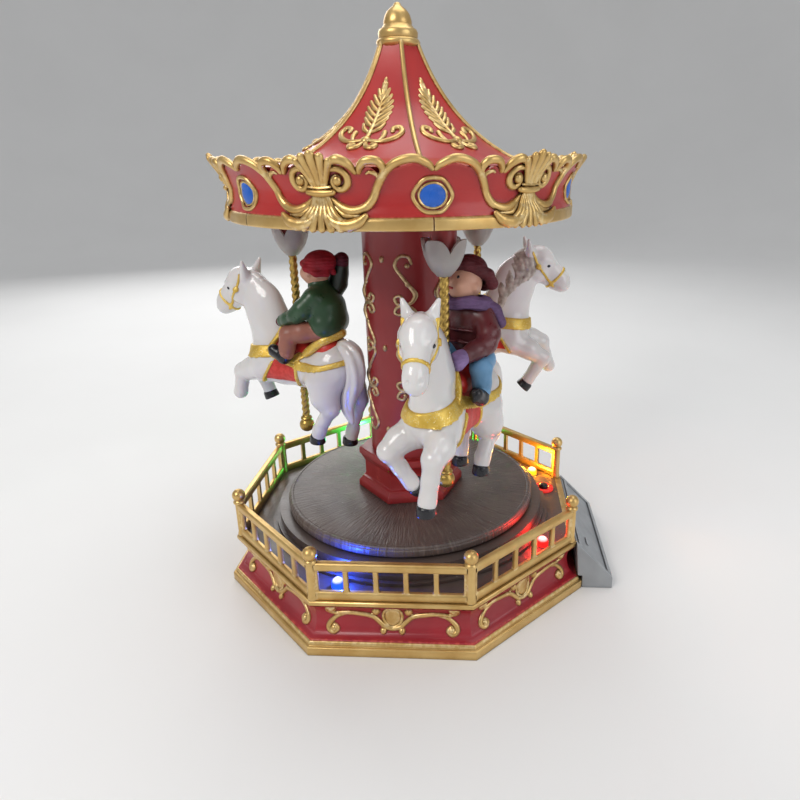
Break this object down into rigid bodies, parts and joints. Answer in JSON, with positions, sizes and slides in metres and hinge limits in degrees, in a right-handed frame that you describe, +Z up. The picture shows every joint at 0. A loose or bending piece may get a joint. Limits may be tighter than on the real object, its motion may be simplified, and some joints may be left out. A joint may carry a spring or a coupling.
{
  "type": "wind up music box",
  "caption": "Musical carousel on an eight-sided base: turning canopy and turntable, horses on sliding poles, railing, lamps and a wind-up movement.",
  "frame": {"origin": "on the carousel's spin axis, at the level of the surface the base stands on", "axes": "+Z up along the spin axis, -Y toward the front railing panel, +X toward the entrance ramp"},
  "size_m": [0.1588, 0.1461, 0.2035],
  "materials": {
    "red_plastic": "satin red paint on moulded plastic",
    "gold_plastic": "satin antique-gold paint on moulded plastic",
    "deck_plastic": "dark brown, semi-gloss, radial grain",
    "grey_plastic": "light grey, matt",
    "black_plastic": "black, matt",
    "screw_steel": "zinc-plated",
    "cell_wrap": "plain wrapped dry cells",
    "contact_steel": "nickel-plated spring strip",
    "board_laminate": "green solder mask",
    "blue_lens": "clear blue, lit",
    "red_lens": "clear red, lit",
    "yellow_lens": "clear yellow, lit",
    "green_lens": "clear green, lit",
    "ring_red": "translucent red, lit",
    "button_black": "black, semi-gloss",
    "cast_zinc": "cast, as machined",
    "movement_brass": "bright brass",
    "comb_steel": "ground tuned steel",
    "shaft_steel": "bright drawn",
    "fan_nylon": "natural nylon",
    "cap_frosted": "translucent frosted",
    "horse_white": "glossy white with gold tack and black hooves",
    "rider_brown": "painted figure, maroon jacket",
    "rider_green": "painted figure, green coat",
    "jewel_blue": "glossy blue cabochons"
  },
  "bodies": {
    "base": {"base_shell": "red_plastic", "bottom_cover": "black_plastic", "cover_screws": "screw_steel", "battery_door": "black_plastic", "batteries": "cell_wrap", "battery_contacts": "contact_steel", "circuit_board": "board_laminate", "button_switch": "black_plastic", "deck_plate": "deck_plastic", "railing_posts": "gold_plastic", "railing_panel_1": "gold_plastic", "railing_panel_2": "gold_plastic", "railing_panel_3": "gold_plastic", "railing_panel_4": "gold_plastic", "railing_panel_5": "gold_plastic", "railing_panel_6": "gold_plastic", "railing_panel_7": "gold_plastic", "entrance_ramp": "grey_plastic", "lamp_blue": "blue_lens", "lamp_red": "red_lens", "lamp_yellow": "yellow_lens", "lamp_green": "green_lens", "button_ring": "ring_red", "movement_frame": "cast_zinc", "steel_comb": "comb_steel", "comb_screws": "screw_steel", "centre_spindle": "shaft_steel", "lift_cam": "fan_nylon"},
    "button": {"push_button": "button_black"},
    "barrel": {"spring_barrel": "movement_brass"},
    "winder": {"winding_arbor": "shaft_steel", "winding_key": "movement_brass"},
    "cylinder": {"music_cylinder": "movement_brass"},
    "fan": {"governor_fan": "fan_nylon"},
    "carousel": {"drive_gear": "movement_brass", "turntable": "deck_plastic", "column": "red_plastic", "canopy_ceiling": "red_plastic", "canopy_valance": "red_plastic", "canopy_roof": "red_plastic", "valance_jewels": "jewel_blue", "finial": "gold_plastic", "guide_tube_1": "red_plastic", "guide_tube_2": "red_plastic", "guide_tube_3": "red_plastic", "tulip_cap_1": "cap_frosted", "tulip_cap_2": "cap_frosted", "tulip_cap_3": "cap_frosted"},
    "ride_1": {"pole_1": "gold_plastic", "follower_1": "shaft_steel", "horse_1": "horse_white", "rider_1": "rider_brown"},
    "ride_2": {"pole_2": "gold_plastic", "follower_2": "shaft_steel", "horse_2": "horse_white"},
    "ride_3": {"pole_3": "gold_plastic", "follower_3": "shaft_steel", "horse_3": "horse_white", "rider_2": "rider_green"}
  },
  "joints": [
    {"name": "carousel_spin", "type": "hinge", "parent": "base", "child": "carousel", "pos_m": [0, 0, 0.0278], "axis": [0, 0, 1], "continuous": true},
    {"name": "barrel_spin", "type": "hinge", "parent": "base", "child": "barrel", "pos_m": [-0.0249, -0.01744, 0.015], "axis": [0, 0, 1], "continuous": true},
    {"name": "cylinder_spin", "type": "hinge", "parent": "base", "child": "cylinder", "pos_m": [-0.0249, 0.01396, 0.01665], "axis": [0, 1, 0], "continuous": true},
    {"name": "fan_spin", "type": "hinge", "parent": "base", "child": "fan", "pos_m": [-0.01675, 0.02516, 0.01665], "axis": [0, 1, 0], "continuous": true},
    {"name": "key_wind", "type": "hinge", "parent": "base", "child": "winder", "pos_m": [-0.0249, -0.01744, 0.009], "axis": [0, 0, 1], "continuous": true},
    {"name": "button_press", "type": "slide", "parent": "base", "child": "button", "axis": [0, 0, -1], "range_m": [0, 0.0008], "stiffness_N_per_m": 150, "springref_m": -0.0006},
    {"name": "ride_lift_1", "type": "slide", "parent": "carousel", "child": "ride_1", "axis": [0, 0, 1], "range_m": [-0.006, 0]},
    {"name": "ride_lift_2", "type": "slide", "parent": "carousel", "child": "ride_2", "axis": [0, 0, 1], "range_m": [-0.006, 0]},
    {"name": "ride_lift_3", "type": "slide", "parent": "carousel", "child": "ride_3", "axis": [0, 0, 1], "range_m": [-0.006, 0]}
  ],
  "couplings": [
    {"joint": "barrel_spin", "follows": "carousel_spin", "ratio": -1},
    {"joint": "cylinder_spin", "follows": "carousel_spin", "ratio": -4},
    {"joint": "fan_spin", "follows": "carousel_spin", "ratio": 12}
  ]
}
